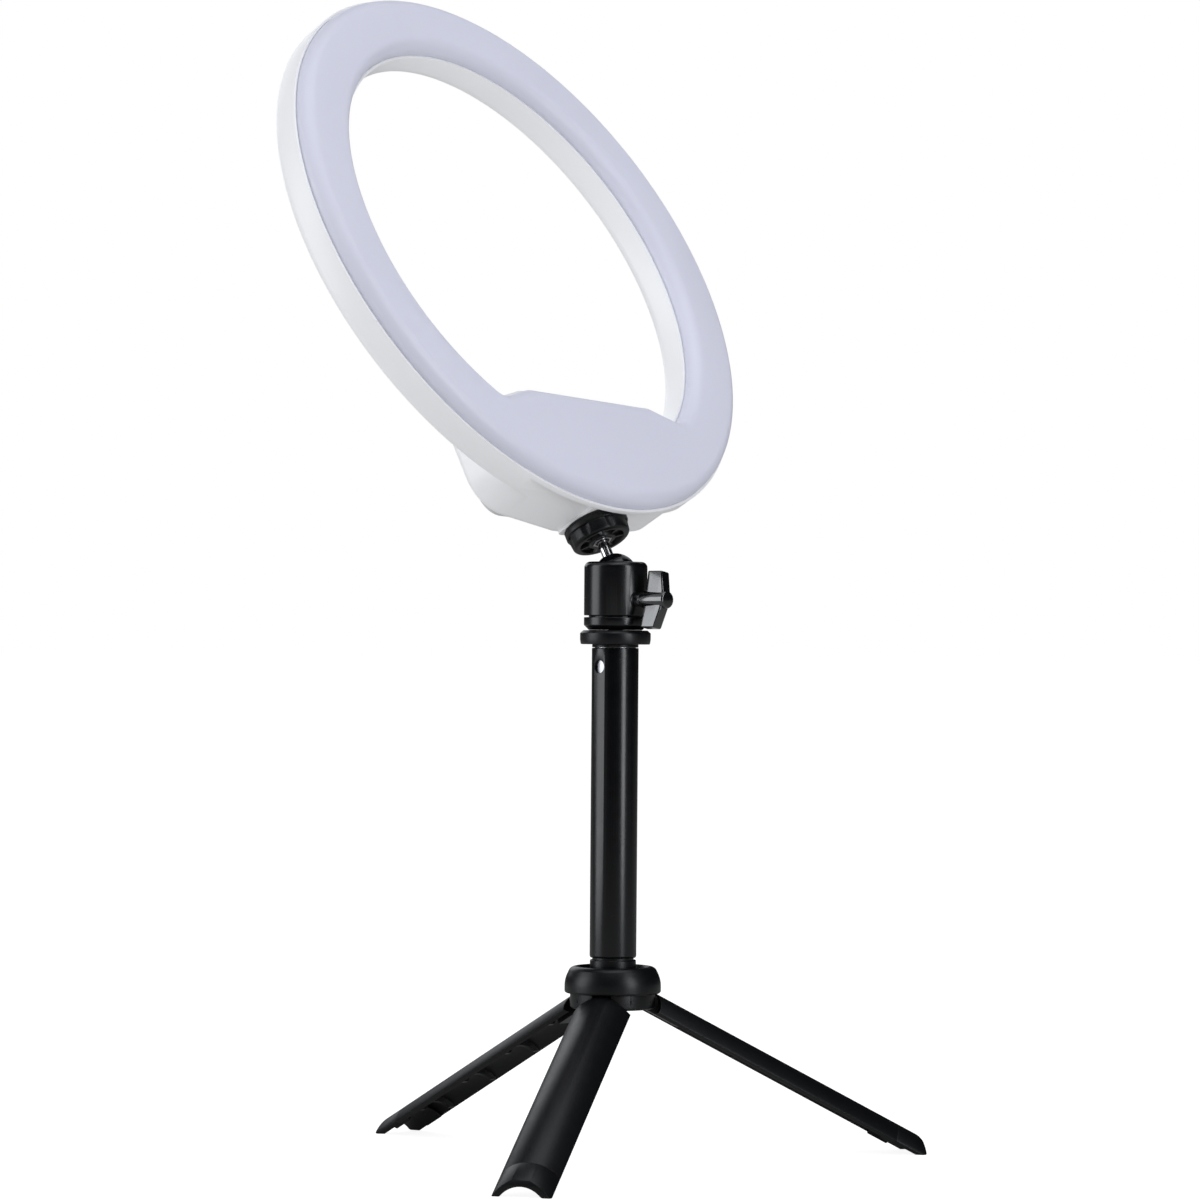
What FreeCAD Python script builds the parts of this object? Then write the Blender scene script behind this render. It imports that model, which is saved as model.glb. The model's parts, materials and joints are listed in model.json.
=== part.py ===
import FreeCAD, Part
import math
import os
from FreeCAD import Placement, Rotation, Vector

# A 26 cm ring light on a ball head, a telescoping pole and a folding three-legged foot.
# Millimetres, +Z up. The origin is on the floor under the pole's axis, and the front leg points to -Y.
# Azimuths are measured from -Y towards +X.
# The ring is built upright in its own frame: X to its side, +Y to its back, Z along the ball's stem.

# Overall sizes and the stored pose
BALL_HEIGHT = 249.3          # centre of the ball above the floor
HEAD_TURN = 68.6             # azimuth that the light faces
HEAD_LEAN = 29.7             # how far the light leans back
HEAD_SPIN = 3.5              # turn of the ring in its own plane
FOOT_REACH = 138.0           # the tip of an open leg from the pole's axis

# Fits
RUN_FIT = 0.06               # radial clearance of a turning or sliding fit
GAP = 0.3                    # clearance between pieces that move past each other
SNUG = 0.1                   # clearance round a piece that is pushed in and stays

# Ring
RING_R = 131.4
RING_DEPTH = 14.2
WALL = 2.2
RING_BACK_ROUND = 5.0
OPENING_R = 101.8
LIP = 1.2                    # width of the shell's edge that shows round the diffuser
SEAT_DEPTH = 1.2             # depth of the step that the diffuser rests on
DIFFUSER_RISE = 7.0
DIFFUSER_ROUND = 6.0
DIFFUSER_SKIN = 1.8
DIFFUSER_GAP = 0.1

# Bridge across the bottom of the opening, as distances from the ring's centre
BRIDGE_TOP = 75.7
BRIDGE_HALF = 41.0
BRIDGE_FLARE = 64.0
BRIDGE_FLARE_DROP = 7.0
BRIDGE_ROUND = 8.0

# Chin behind the bridge, which holds the controls and stands on the ball head
RING_TO_BALL = 153.1         # ring centre to ball centre along the stem
STEM_SETBACK = 17.0          # stem axis behind the front edge of the shell
CHIN_DEPTH = 31.0
CHIN_HALF = 60.0
CHIN_FLAT = 126.0
CHIN_FLAT_HALF = 14.0
CHIN_SLOPE = 0.163
CHIN_SIDE_ROUND = 18.0
CHIN_BACK_ROUND = 4.0
FOOT_HALF = 13.0
FOOT_HALF_DEPTH = 11.5
FOOT_CORNER = 2.0
FOOT_ABOVE_BALL = 25.6       # underside of the chin's foot from the ball centre

# Control cover, board and buttons
COVER_HALF = 50.0
COVER_TOP = 83.0
COVER_LOW = 118.0
COVER_RISE = 4.0
COVER_ROUND = 10.0
COVER_EDGE = 2.5
COVER_WALL = 2.0
BUTTON_R = 4.0
BUTTON_PITCH = 17.0
BUTTON_PROUD = 1.2
BUTTON_TRAVEL = 0.6
BUTTON_FLANGE = 1.0
SWITCH_SIZE = 6.0
SWITCH_HEIGHT = 3.0
BOARD_THICK = 1.6
INLET_W = 9.2
INLET_H = 3.6
INLET_LENGTH = 10.0

# LED board
LED_BOARD_IN = 107.5
LED_BOARD_OUT = 126.0
LED_BOARD_THICK = 1.2
LED_PER_ROW = 36
LED_LONG = 3.5
LED_WIDE = 2.8
LED_HIGH = 0.8

# Fasteners
SCREW_R = 1.25
SCREW_HEAD_R = 2.4
SCREW_HEAD_HIGH = 1.6
SCREW_SUNK = 0.2             # head below the surface it is driven into
BOSS_WALL = 1.15
RING_SCREW_LENGTH = 8.0
COVER_SCREW_LENGTH = 7.0
QUARTER_INCH_R = 3.175       # 1/4 inch camera thread
INSERT_R = 5.0
INSERT_LENGTH = 9.0

# Ball head
BALL_R = 9.25
BALL_FACET_R = 4.4
STEM_R = 2.4
LINER_THICK = 1.0
LINER_ANGLE = 35.0
LINER_EDGE_ROOM = 12.0
HOUSING_R = 13.5
HOUSING_TOP = 5.6            # rim above the ball centre
HOUSING_HIGH = 23.0
HOUSING_WALL = 2.6
HOUSING_ROUND = 2.5
BASE_HIGH = 5.4
BASE_CHAMFER = 2.0
BASE_GROOVE = 0.7
BASE_NECK_R = 11.5
ROLL_LIMIT = 16.0            # the ball's sideways swing, which flares its notch
WHEEL_R = 14.0
WHEEL_LOW = 16.5             # underside of the wheel from the ball centre
WHEEL_SCALLOPS = 7
WHEEL_SCALLOP_R = 5.0
WHEEL_SCALLOP_DEEP = 1.4
WHEEL_RIM = 2.6
WHEEL_HOLLOW = 1.8
PAD_THICK = 1.0

# Clamp knob
KNOB_TURN = 60.4             # azimuth of its axis
KNOB_ROLL = 11.0             # how far its wings are turned from upright
KNOB_DROP = 10.7             # its axis below the ball centre
KNOB_SCREW_R = 2.0
KNOB_HUB_R = 3.7
KNOB_INNER = 16.6            # inner end from the head's axis
KNOB_WING_IN = 19.1
KNOB_WING_OUT = 28.0
KNOB_END = 31.1
KNOB_SPAN = 24.6
KNOB_THICK = 5.0
KNOB_SCREW_SHOWS = 2.6       # bare screw between the housing's boss and the knob

# Pole
PLATFORM_R = 15.1
PLATFORM_HIGH = 6.0
PLATFORM_PAD_R = 11.3
PLATFORM_PAD_THICK = 0.5
CAP_RIM_HIGH = 1.3
TUBE_R = 10.0
TUBE_WALL = 1.1
TUBE_BOTTOM = 86.0
INNER_WALL = 1.0
INNER_BOTTOM = 100.0
SLIDE_CLEAR = 0.1
SNAP_HOLE_R = 2.9
SNAP_HOLE_DROP = 8.0         # hole below the outer tube's top
SNAP_TURN = -29.6
SNAP_BUTTON_UP = 8.0         # button above the inner tube's lower end
SNAP_PRESS = 1.5
CLOSED_GAP = 0.2             # gap under the cap's rim when the pole is pushed in

# Foot hub
COLLAR_R = 20.6
COLLAR_TOP = 82.2
COLLAR_BOTTOM = 70.9
COLLAR_DISH_R = 15.2
COLLAR_DISH = 2.2
PLUG_RING_TOP = 85.0
HUB_R = 18.2
HUB_BOTTOM = 64.4
HUB_TOP = 74.4
HUB_ROUND = 1.2
BOLT_R = 3.0
BOLT_HEAD_R = 5.0

# Legs
LEG_COUNT = 3
LEG_R = 14.55
LEG_WALL = 2.5
LEG_HALF_ANGLE = 60.0
HINGE_R = 12.5
HINGE_Z = 67.9
HINGE_LINE_RISE = 1.17       # height of the hinge's line along an open leg, at its tip
FOLDED_REACH = 17.7          # a folded leg's outer face from the pole's axis
PIN_R = 1.5
LUG_HALF = 4.0
LUG_R = 3.6
FOOT_CAP_LENGTH = 15.0
RIB_COUNT = 4
RIB_THICK = 1.6
RIB_DEEP = 2.5
RIB_INSET = 14.0
NOSE_ROUND = 4.0

# Sizes that follow
TUBE_BORE_R = TUBE_R - TUBE_WALL
INNER_R = TUBE_BORE_R - SLIDE_CLEAR
INNER_BORE_R = INNER_R - INNER_WALL
HOUSING_RIM_Z = BALL_HEIGHT + HOUSING_TOP
HOUSING_BOTTOM_Z = HOUSING_RIM_Z - HOUSING_HIGH
BASE_TOP_Z = HOUSING_BOTTOM_Z - BASE_GROOVE
BASE_BOTTOM_Z = BASE_TOP_Z - BASE_HIGH
PLATFORM_TOP_Z = BASE_BOTTOM_Z - 0.2
CAP_RIM_TOP_Z = PLATFORM_TOP_Z - PLATFORM_HIGH
INNER_TOP_Z = CAP_RIM_TOP_Z - CAP_RIM_HIGH
TUBE_TOP_Z = INNER_TOP_Z - CLOSED_GAP
FOOT_DROP = RING_TO_BALL - FOOT_ABOVE_BALL
SNAP_HOLE_Z = TUBE_TOP_Z - SNAP_HOLE_DROP
NECK_TOP_Z = BALL_HEIGHT - KNOB_DROP - KNOB_SCREW_R - GAP
SEAT_BOWL_R = BALL_R + RUN_FIT + LINER_THICK + RUN_FIT
LEG_SLOPE = math.degrees(math.atan((HINGE_Z - HINGE_LINE_RISE) / (FOOT_REACH - HINGE_R)))
FOLD_ANGLE = 90.0 - LEG_SLOPE
LEG_AXIS_R = FOLDED_REACH - LEG_R

HEAD_ROTATION = (
    Rotation(Vector(0, 0, 1), HEAD_TURN)
    * Rotation(Vector(1, 0, 0), -HEAD_LEAN)
    * Rotation(Vector(0, 1, 0), HEAD_SPIN)
)
BALL_CENTRE = Vector(0, 0, BALL_HEIGHT)
HEAD_PLACE = Placement(BALL_CENTRE, HEAD_ROTATION)
RING_PLACE = HEAD_PLACE * Placement(Vector(0, -STEM_SETBACK, RING_TO_BALL), Rotation())


# ---- general shapes

def cylinder(radius, start, end):
    axis = end - start
    return Part.makeCylinder(radius, axis.Length, start, axis)


def upright(radius, low, high):
    return cylinder(radius, Vector(0, 0, low), Vector(0, 0, high))


def block(low, high):
    size = Vector(*high) - Vector(*low)
    return Part.makeBox(size.x, size.y, size.z, Vector(*low))


def rounded_outline(corners):
    """A closed wire through corners, each a point and the radius that rounds it."""
    count = len(corners)
    stretches = []
    for i, (point, radius) in enumerate(corners):
        back = corners[i - 1][0] - point
        ahead = corners[(i + 1) % count][0] - point
        back.normalize()
        ahead.normalize()
        if radius == 0:
            stretches.append((point, None, point))
            continue
        half = back.getAngle(ahead) / 2
        reach = radius / math.tan(half)
        middle = back + ahead
        middle.normalize()
        crown = point + middle * (radius / math.sin(half) - radius)
        stretches.append((point + back * reach, crown, point + ahead * reach))
    edges = []
    for i, (start, crown, end) in enumerate(stretches):
        if crown is not None:
            edges.append(Part.Arc(start, crown, end).toShape())
        following = stretches[(i + 1) % count][0]
        if (following - end).Length > 1e-6:
            edges.append(Part.LineSegment(end, following).toShape())
    return Part.Wire(Part.__sortEdges__(edges))


def revolved(profile):
    """A solid turned about Z from (radius, height, corner radius) points."""
    wire = rounded_outline([(Vector(r, 0, z), c) for r, z, c in profile])
    return Part.Face(wire).revolve(Vector(), Vector(0, 0, 1), 360)


def merged(shapes):
    first, *others = shapes
    return first.fuse(others).removeSplitter() if others else first


def turned(shape, azimuth):
    copy = shape.copy()
    copy.rotate(Vector(), Vector(0, 0, 1), azimuth)
    return copy


def placed(shape, place):
    copy = shape.copy()
    copy.Placement = place * copy.Placement
    return copy


def save(shape, name):
    shape.exportStep(f"parts/{name}.step")


# ---- outlines of the ring, in the plane of its front edge

def front_prism(face, near, far):
    """A face in the ring's front plane, moved to one depth and extruded to another."""
    moved = face.copy()
    moved.translate(Vector(0, near, 0))
    return moved.extrude(Vector(0, far - near, 0))


def disc_face(radius):
    circle = Part.Circle(Vector(), Vector(0, 1, 0), radius)
    return Part.Face(Part.Wire(circle.toShape()))


def outline_face(points):
    """A face from (x, z, corner radius) points in the ring's front plane."""
    return Part.Face(rounded_outline([(Vector(x, 0, z), r) for x, z, r in points]))


def grown(face, amount):
    return face if amount == 0 else Part.Face(face.OuterWire.makeOffset2D(amount))


def opening_face():
    """The clear opening: a round hole with the bridge across its bottom."""
    flare_z = -BRIDGE_TOP - BRIDGE_FLARE_DROP
    low_z = -OPENING_R - 2 * WALL
    bridge = outline_face([
        (-BRIDGE_HALF, -BRIDGE_TOP, BRIDGE_ROUND),
        (BRIDGE_HALF, -BRIDGE_TOP, BRIDGE_ROUND),
        (BRIDGE_FLARE, flare_z, 0),
        (BRIDGE_FLARE, low_z, 0),
        (-BRIDGE_FLARE, low_z, 0),
        (-BRIDGE_FLARE, flare_z, 0),
    ])
    hole = front_prism(disc_face(OPENING_R), 0, 1).cut(front_prism(bridge, -1, 2))
    corners = [
        e for e in hole.Edges
        if abs(e.tangentAt(e.FirstParameter).y) > 0.99
        and abs(math.hypot(e.Vertexes[0].X, e.Vertexes[0].Z) - OPENING_R) < 0.01
        and e.Vertexes[0].Z < -OPENING_R / 2
    ]
    hole = hole.makeFillet(BRIDGE_ROUND, corners)
    front = min((f for f in hole.Faces if abs(f.normalAt(0, 0).y) > 0.99), key=lambda f: f.CenterOfMass.y)
    return Part.Face(front.OuterWire)


def chin_face():
    side_z = -CHIN_FLAT + CHIN_SLOPE * (CHIN_HALF - CHIN_FLAT_HALF)
    shoulder_z = -BRIDGE_TOP - BRIDGE_FLARE_DROP + 1
    right = [
        (BRIDGE_HALF, -BRIDGE_TOP, BRIDGE_ROUND),
        (CHIN_HALF, shoulder_z, 5),
        (CHIN_HALF, side_z, CHIN_SIDE_ROUND),
        (CHIN_FLAT_HALF, -CHIN_FLAT, 3),
    ]
    left = [(-x, z, r) for x, z, r in reversed(right)]
    return outline_face(right + left)


def below_chin(inset):
    """Everything under the chin's lower edge, drawn in by a wall."""
    slope_length = math.hypot(1, CHIN_SLOPE)
    flat = -CHIN_FLAT + inset
    side = flat + CHIN_SLOPE * (CHIN_HALF - CHIN_FLAT_HALF) + inset * (slope_length - 1)
    low = -2 * RING_R
    return outline_face([
        (CHIN_FLAT_HALF, flat, 0),
        (CHIN_HALF, side, 0),
        (CHIN_HALF, low, 0),
        (-CHIN_HALF, low, 0),
        (-CHIN_HALF, side, 0),
        (-CHIN_FLAT_HALF, flat, 0),
    ])


def ring_band(opening, near, far, inset):
    """The ring between its outer circle and its opening, drawn in by inset on both."""
    outside = front_prism(disc_face(RING_R - inset), near, far)
    return outside.cut(front_prism(grown(opening, inset), near - 1, far + 1))


def edges_at_depth(shape, depth):
    return [e for e in shape.Edges if all(abs(v.Y - depth) < 1e-3 for v in e.Vertexes)
            and abs(e.CenterOfMass.y - depth) < 1e-3]


def rounded_at_depth(shape, depth, radius):
    return shape.makeFillet(radius, edges_at_depth(shape, depth))


def ring_of_points(radius, count, start=0.0):
    """Points (x, z, angle) round the ring, the angle from its top towards +X."""
    angles = [start + 360.0 * i / count for i in range(count)]
    return [(radius * math.sin(math.radians(a)), radius * math.cos(math.radians(a)), a) for a in angles]


def led_board_back():
    return RING_DEPTH - WALL - 2.4


def ring_screw_points():
    """Screws through the ring's back, clear of the chin."""
    radius = (LED_BOARD_IN + LED_BOARD_OUT) / 2
    return [(x, z) for x, z, a in ring_of_points(radius, 6, 30.0) if z > -BRIDGE_TOP]


def cover_screw_points():
    x = COVER_HALF - 6.0
    return [(sx * x, z) for sx in (-1, 1) for z in (-COVER_TOP - 6.0, -COVER_LOW + 6.0)]


# ---- head

def make_rear_shell(opening):
    chin = chin_face()
    body = rounded_at_depth(ring_band(opening, 0, RING_DEPTH, 0), RING_DEPTH, RING_BACK_ROUND)
    lip_back = 2 * SEAT_DEPTH
    body = body.cut(front_prism(below_chin(0), lip_back, CHIN_DEPTH))
    chin_body = front_prism(chin, SEAT_DEPTH, CHIN_DEPTH)
    chin_body = rounded_at_depth(chin_body, CHIN_DEPTH, CHIN_BACK_ROUND)
    foot = block(
        (-FOOT_HALF, STEM_SETBACK - FOOT_HALF_DEPTH, -FOOT_DROP),
        (FOOT_HALF, STEM_SETBACK + FOOT_HALF_DEPTH, -CHIN_FLAT + 2),
    )
    foot = foot.makeFillet(FOOT_CORNER, [e for e in foot.Edges if abs(e.tangentAt(0).z) > 0.99])
    insert_boss = cylinder(
        INSERT_R + WALL,
        Vector(0, STEM_SETBACK, -FOOT_DROP + 2),
        Vector(0, STEM_SETBACK, -FOOT_DROP + INSERT_LENGTH + 3),
    )

    trough = ring_band(opening, SEAT_DEPTH / 2, RING_DEPTH - WALL, WALL)
    trough = rounded_at_depth(trough, RING_DEPTH - WALL, RING_BACK_ROUND - WALL)
    chin_room = front_prism(grown(chin, -WALL), RING_DEPTH / 2, CHIN_DEPTH - WALL)
    hollow = trough.fuse(chin_room).cut(front_prism(below_chin(WALL), 0, CHIN_DEPTH))
    hollow = hollow.cut([insert_boss])
    posts = [
        cylinder(SCREW_HEAD_R + BOSS_WALL, Vector(x, led_board_back(), z), Vector(x, RING_DEPTH - 1, z))
        for x, z in ring_screw_points()
    ]
    cover_posts = [
        cylinder(
            SCREW_R + BOSS_WALL,
            Vector(x, CHIN_DEPTH - COVER_SCREW_LENGTH, z),
            Vector(x, CHIN_DEPTH - 1, z),
        )
        for x, z in cover_screw_points()
    ]
    hollow = hollow.cut(posts + cover_posts)
    seat = ring_band(opening, -1, SEAT_DEPTH, LIP)

    inset = 11.0
    window = block(
        (-COVER_HALF + inset, CHIN_DEPTH - 2 * WALL, -COVER_LOW + 4),
        (COVER_HALF - inset, CHIN_DEPTH + 1, -COVER_TOP - 4),
    )
    holes = [insert_bore(RUN_FIT / 2, 1)]
    holes += [screw_hole(x, z, RING_DEPTH, RING_SCREW_LENGTH) for x, z in ring_screw_points()]
    holes += [screw_hole(x, z, cover_back(), COVER_SCREW_LENGTH) for x, z in cover_screw_points()]
    shell = merged([body, chin_body, foot]).cut([hollow, seat, window, inlet_body(SNUG)] + holes)
    return shell.removeSplitter()


def insert_bore(clearance, extra):
    base = Vector(0, STEM_SETBACK, -FOOT_DROP - extra)
    return cylinder(INSERT_R + clearance, base, base + Vector(0, 0, INSERT_LENGTH + extra))


def screw_shape(x, z, head_back, length):
    """A pan-head screw driven in from behind, its head just below head_back."""
    seat = head_back - SCREW_HEAD_HIGH
    shank = cylinder(SCREW_R, Vector(x, seat - length, z), Vector(x, seat, z))
    head = cylinder(SCREW_HEAD_R, Vector(x, seat, z), Vector(x, head_back - SCREW_SUNK, z))
    return shank.fuse(head)


def screw_hole(x, z, head_back, length):
    """The counterbored hole for screw_shape, a little deeper and wider."""
    seat = head_back - SCREW_HEAD_HIGH
    shank = cylinder(SCREW_R + SNUG / 2, Vector(x, seat - length - SNUG, z), Vector(x, seat + SNUG, z))
    head = cylinder(SCREW_HEAD_R + SNUG, Vector(x, seat, z), Vector(x, head_back + 1, z))
    return shank.fuse(head)


def make_diffuser(opening):
    outside = ring_band(opening, -DIFFUSER_RISE, SEAT_DEPTH - DIFFUSER_GAP, LIP + DIFFUSER_GAP)
    outside = rounded_at_depth(outside, -DIFFUSER_RISE, DIFFUSER_ROUND)
    skin_front = -DIFFUSER_RISE + DIFFUSER_SKIN
    inside = ring_band(opening, skin_front, SEAT_DEPTH + 1, LIP + DIFFUSER_GAP + DIFFUSER_SKIN)
    inside = rounded_at_depth(inside, skin_front, DIFFUSER_ROUND - DIFFUSER_SKIN)
    board_face = led_board_back() - LED_BOARD_THICK
    bosses = [
        cylinder(SCREW_R + BOSS_WALL, Vector(x, skin_front - 0.5, z), Vector(x, board_face, z))
        for x, z in ring_screw_points()
    ]
    holes = [screw_hole(x, z, RING_DEPTH, RING_SCREW_LENGTH) for x, z in ring_screw_points()]
    return merged([outside.cut(inside)] + bosses).cut(holes)


def make_led_board():
    back = led_board_back()
    ring = front_prism(disc_face(LED_BOARD_OUT), back - LED_BOARD_THICK, back)
    ring = ring.cut(front_prism(disc_face(LED_BOARD_IN), 0, back + 1))
    floor = front_prism(below_chin(WALL + GAP), 0, back + 1)
    holes = [screw_hole(x, z, RING_DEPTH, RING_SCREW_LENGTH) for x, z in ring_screw_points()]
    return ring.cut([floor] + holes)


def make_led_chips():
    face = led_board_back() - LED_BOARD_THICK
    chips = []
    low = -CHIN_FLAT + WALL + GAP + LED_LONG
    for row, radius in enumerate((LED_BOARD_IN + 5.0, LED_BOARD_OUT - 5.0)):
        for x, z, angle in ring_of_points(radius, LED_PER_ROW, 180.0 / LED_PER_ROW * row):
            if z < low:
                continue
            chip = block((-LED_LONG / 2, face - LED_HIGH, -LED_WIDE / 2), (LED_LONG / 2, face, LED_WIDE / 2))
            chip.rotate(Vector(), Vector(0, 1, 0), angle)
            chip.translate(Vector(x, 0, z))
            chips.append(chip)
    return Part.makeCompound(chips)


def button_points():
    z = -(COVER_TOP + COVER_LOW) / 2
    names = ("power", "mode", "plus", "minus")
    return [(name, (i - 1.5) * BUTTON_PITCH, z) for i, name in enumerate(names)]


def cover_back():
    return CHIN_DEPTH + COVER_RISE


def button_seat():
    """Depth of a button's flange under the cover's skin."""
    return cover_back() - COVER_WALL


def board_back():
    """Depth of the control board's component side, one switch below the buttons."""
    return button_seat() - BUTTON_FLANGE - BUTTON_TRAVEL - 0.1 - SWITCH_HEIGHT


def make_control_cover():
    face = outline_face([
        (COVER_HALF, -COVER_TOP, COVER_ROUND),
        (COVER_HALF, -COVER_LOW, COVER_ROUND),
        (-COVER_HALF, -COVER_LOW, COVER_ROUND),
        (-COVER_HALF, -COVER_TOP, COVER_ROUND),
    ])
    outside = rounded_at_depth(front_prism(face, CHIN_DEPTH, cover_back()), cover_back(), COVER_EDGE)
    room = front_prism(grown(face, -COVER_WALL), CHIN_DEPTH - 1, button_seat())
    bosses = [
        cylinder(SCREW_HEAD_R + BOSS_WALL, Vector(x, CHIN_DEPTH, z), Vector(x, cover_back() - 1, z))
        for x, z in cover_screw_points()
    ]
    room = room.cut(bosses)
    cuts = [room]
    for _, x, z in button_points():
        cuts.append(cylinder(BUTTON_R + RUN_FIT, Vector(x, CHIN_DEPTH, z), Vector(x, cover_back() + 1, z)))
    cuts += [screw_hole(x, z, cover_back(), COVER_SCREW_LENGTH) for x, z in cover_screw_points()]
    return outside.cut(cuts)


def make_button(x, z):
    foot = Vector(x, button_seat() - BUTTON_FLANGE, z)
    stem = cylinder(BUTTON_R, foot, Vector(x, cover_back() + BUTTON_PROUD, z))
    stem = stem.makeFillet(0.5, edges_at_depth(stem, cover_back() + BUTTON_PROUD))
    flange = cylinder(BUTTON_R + 1.0, foot, Vector(x, button_seat() - 0.02, z))
    return stem.fuse(flange).removeSplitter()


def make_control_board():
    back = board_back()
    half = COVER_HALF - 13.0
    board = block((-half, back - BOARD_THICK, -COVER_LOW + 7), (half, back, -COVER_TOP - 7))
    return board


def make_tact_switches():
    """A square switch behind each button, its plunger just clear of the flange."""
    switches = []
    half = SWITCH_SIZE / 2
    back = board_back()
    for _, x, z in button_points():
        base = block((x - half, back, z - half), (x + half, back + SWITCH_HEIGHT - 0.8, z + half))
        plunger = cylinder(1.7, Vector(x, back + 1, z), Vector(x, back + SWITCH_HEIGHT, z))
        switches.append(base.fuse(plunger))
    return Part.makeCompound(switches)


def make_board_parts():
    """The driver chip, coil and capacitor on the front of the control board."""
    front = board_back() - BOARD_THICK
    z = button_points()[0][2]
    chip = block((-6, front - 1.6, z - 4), (4, front, z + 4))
    coil = cylinder(4.5, Vector(14, front - 4.5, z), Vector(14, front, z))
    capacitor = cylinder(3.0, Vector(-16, front - 6.0, z), Vector(-16, front, z))
    return Part.makeCompound([chip, coil, capacitor])


def inlet_body(clearance):
    """The power socket in the chin's right side, and with a clearance the hole it fills."""
    z = -(COVER_TOP + COVER_LOW) / 2
    depth = board_back() - BOARD_THICK - INLET_H / 2 - 2.5
    half_w = INLET_W / 2 + clearance
    half_h = INLET_H / 2 + clearance
    body = block(
        (CHIN_HALF - INLET_LENGTH, depth - half_h, z - half_w),
        (CHIN_HALF + (clearance and 1), depth + half_h, z + half_w),
    )
    return body.makeFillet(INLET_H / 2 - 0.1, [e for e in body.Edges if abs(e.tangentAt(0).x) > 0.99])


def make_power_inlet():
    body = inlet_body(0)
    shrunk = body.copy()
    centre = body.BoundBox.Center
    shrunk.scale(0.78, centre)
    shrunk.translate(Vector(2.6, 0, 0))
    tongue = block(
        (CHIN_HALF - 7, centre.y - 0.35, centre.z - 2.6),
        (CHIN_HALF - 1, centre.y + 0.35, centre.z + 2.6),
    )
    return body.cut(shrunk).fuse(tongue)


def make_lead_wires():
    """Two wires from the control board forward to the LED board."""
    front = board_back() - BOARD_THICK
    z = -LED_BOARD_IN - 2.5
    return Part.makeCompound([
        cylinder(0.7, Vector(x, led_board_back(), z), Vector(x, front, z)) for x in (-26.0, -23.0)
    ])


def make_shell_screws():
    screws = [screw_shape(x, z, RING_DEPTH, RING_SCREW_LENGTH) for x, z in ring_screw_points()]
    screws += [screw_shape(x, z, cover_back(), COVER_SCREW_LENGTH) for x, z in cover_screw_points()]
    return Part.makeCompound(screws)


def make_thread_insert():
    return insert_bore(0, 0).cut(insert_thread_room())


def insert_thread_room():
    base = Vector(0, STEM_SETBACK, -FOOT_DROP - 1)
    return cylinder(QUARTER_INCH_R + RUN_FIT, base, base + Vector(0, 0, INSERT_LENGTH - 1))


# ---- ball head, in the head's frame about the ball centre

def make_ball():
    facet = math.sqrt(BALL_R ** 2 - BALL_FACET_R ** 2)
    ball = Part.makeSphere(BALL_R)
    ball = ball.cut(upright(BALL_R, facet, BALL_R + 1))
    return ball.cut(upright(STEM_R, 2.0, BALL_R))


def make_ball_stud():
    """The bright stem, pressed in the ball, and its camera thread."""
    thread_start = WHEEL_LOW + 1.0
    tip = FOOT_ABOVE_BALL + INSERT_LENGTH - 2.5
    stem = upright(STEM_R, 2.0, thread_start + 1)
    thread = upright(QUARTER_INCH_R, thread_start, tip)
    thread = thread.makeChamfer(0.8, thread.Edges[0:1] + thread.Edges[2:3])
    return stem.fuse(thread).removeSplitter()


def make_ball_liner():
    """The plastic cap under the ball, which slides in the seat's bowl."""
    inner = BALL_R + RUN_FIT
    outer = inner + LINER_THICK
    shell = Part.makeSphere(outer).cut(Part.makeSphere(inner))
    edge = outer * math.sin(math.radians(LINER_ANGLE))
    return shell.common(upright(edge, -outer - 1, 0))


def make_lock_wheel():
    """A round rim over a narrower scalloped grip, hollowed underneath."""
    top = FOOT_ABOVE_BALL - PAD_THICK
    low = WHEEL_LOW
    bore = QUARTER_INCH_R + RUN_FIT
    disc = revolved([
        (bore, low, 0),
        (6.0, low, 0.3),
        (6.6, low + WHEEL_HOLLOW, 0),
        (9.4, low + WHEEL_HOLLOW, 0.8),
        (10.0, low, 0.4),
        (12.8, low, 1.6),
        (WHEEL_R - 0.6, top - WHEEL_RIM, 0.5),
        (WHEEL_R, top - WHEEL_RIM, 0.4),
        (WHEEL_R, top, 0.4),
        (bore, top, 0),
    ])
    scallops = []
    for i in range(WHEEL_SCALLOPS):
        centre = Vector(0, -WHEEL_R - WHEEL_SCALLOP_R + WHEEL_SCALLOP_DEEP, 0)
        ends = centre + Vector(0, 0, low - 1), centre + Vector(0, 0, top - WHEEL_RIM)
        cutter = cylinder(WHEEL_SCALLOP_R, *ends)
        scallops.append(turned(cutter, 360.0 * (i + 0.5) / WHEEL_SCALLOPS))
    ribs = []
    for i in range(WHEEL_SCALLOPS):
        rib = block((-0.6, -9.9, low + 0.5), (0.6, -6.1, low + WHEEL_HOLLOW + 0.5))
        ribs.append(turned(rib, 360.0 * i / WHEEL_SCALLOPS))
    return merged([disc.cut(scallops)] + ribs).cut(wheel_nut_room(0))


def wheel_nut_room(clearance):
    """The pocket of the steel nut that is moulded into the wheel."""
    radius = 4.4 + clearance
    low = Vector(0, 0, WHEEL_LOW - 0.3)
    corners = [
        Vector(radius * math.cos(math.radians(a)), radius * math.sin(math.radians(a)), 0) + low
        for a in range(0, 360, 60)
    ]
    return Part.Face(Part.makePolygon(corners + corners[:1])).extrude(Vector(0, 0, 4.0))


def make_wheel_nut():
    return wheel_nut_room(0).cut(upright(QUARTER_INCH_R + RUN_FIT, 0, WHEEL_LOW + 10))


def make_wheel_pad():
    low = FOOT_ABOVE_BALL - PAD_THICK
    high = FOOT_ABOVE_BALL - 0.05
    return upright(WHEEL_R, low, high).cut(upright(QUARTER_INCH_R + RUN_FIT, low - 1, high + 1))


# ---- ball housing, upright on the pole

def stem_direction():
    return HEAD_ROTATION.multVec(Vector(0, 0, 1))


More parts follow.
